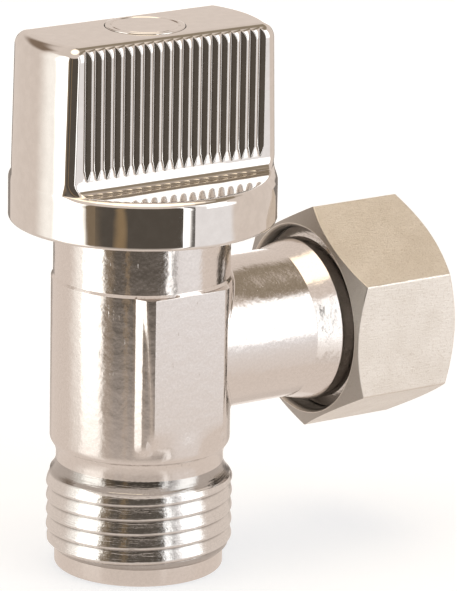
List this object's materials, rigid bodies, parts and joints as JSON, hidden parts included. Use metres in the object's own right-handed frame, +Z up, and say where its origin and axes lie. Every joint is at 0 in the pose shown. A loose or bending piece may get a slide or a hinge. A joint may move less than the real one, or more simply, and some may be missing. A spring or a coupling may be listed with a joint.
{
  "type": "angle stop valve",
  "caption": "Chromed quarter-turn angle stop valve: threaded inlet on the knob's axis, ribbed paddle knob, side outlet with a compression nut for a small tube.",
  "frame": {"origin": "centre of the inlet's end face, on the knob's axis", "axes": "+Z up the knob's axis, +X out along the outlet, +Y to the back"},
  "size_m": [0.04, 0.0238, 0.0494],
  "materials": {
    "body_chrome": "polished, with slight orange peel",
    "knob_chrome": "polished",
    "nut_nickel": "satin nickel plate",
    "bare_brass": "turned",
    "steel": "bright",
    "rubber": "matt",
    "disc_ceramic": "lapped",
    "dark_plastic": "moulded",
    "pale_plastic": "moulded",
    "cap_plastic": "chromed"
  },
  "bodies": {
    "valve": {"valve_body": "body_chrome", "headwork_housing": "bare_brass", "housing_o_ring": "rubber", "seat_seal": "rubber", "seal_support": "steel", "fixed_disc": "disc_ceramic"},
    "handle": {"knob": "knob_chrome", "knob_insert": "bare_brass", "knob_screw": "steel", "screw_washer": "steel", "knob_cap": "cap_plastic", "spindle": "bare_brass", "spindle_o_rings": "rubber", "thrust_washer": "pale_plastic", "spindle_clip": "steel", "disc_carrier": "dark_plastic", "moving_disc": "disc_ceramic"},
    "squeeze_ring": {"olive": "bare_brass", "slip_washer": "pale_plastic"},
    "nut": {"compression_nut": "nut_nickel"}
  },
  "joints": [
    {"name": "knob_turn", "type": "hinge", "parent": "valve", "child": "handle", "pos_m": [0, 0, 0.034], "axis": [0, 0, 1], "range_deg": [-90, 0]},
    {"name": "nut_travel", "type": "slide", "parent": "valve", "child": "squeeze_ring", "axis": [1, 0, 0], "range_m": [0, 0.00535]},
    {"name": "nut_turn", "type": "hinge", "parent": "squeeze_ring", "child": "nut", "pos_m": [0.0226, 0, 0.0202], "axis": [1, 0, 0], "range_deg": [0, 1440]}
  ],
  "couplings": [
    {"joint": "nut_travel", "follows": "nut_turn", "m_per_rad": 0.00021279}
  ]
}
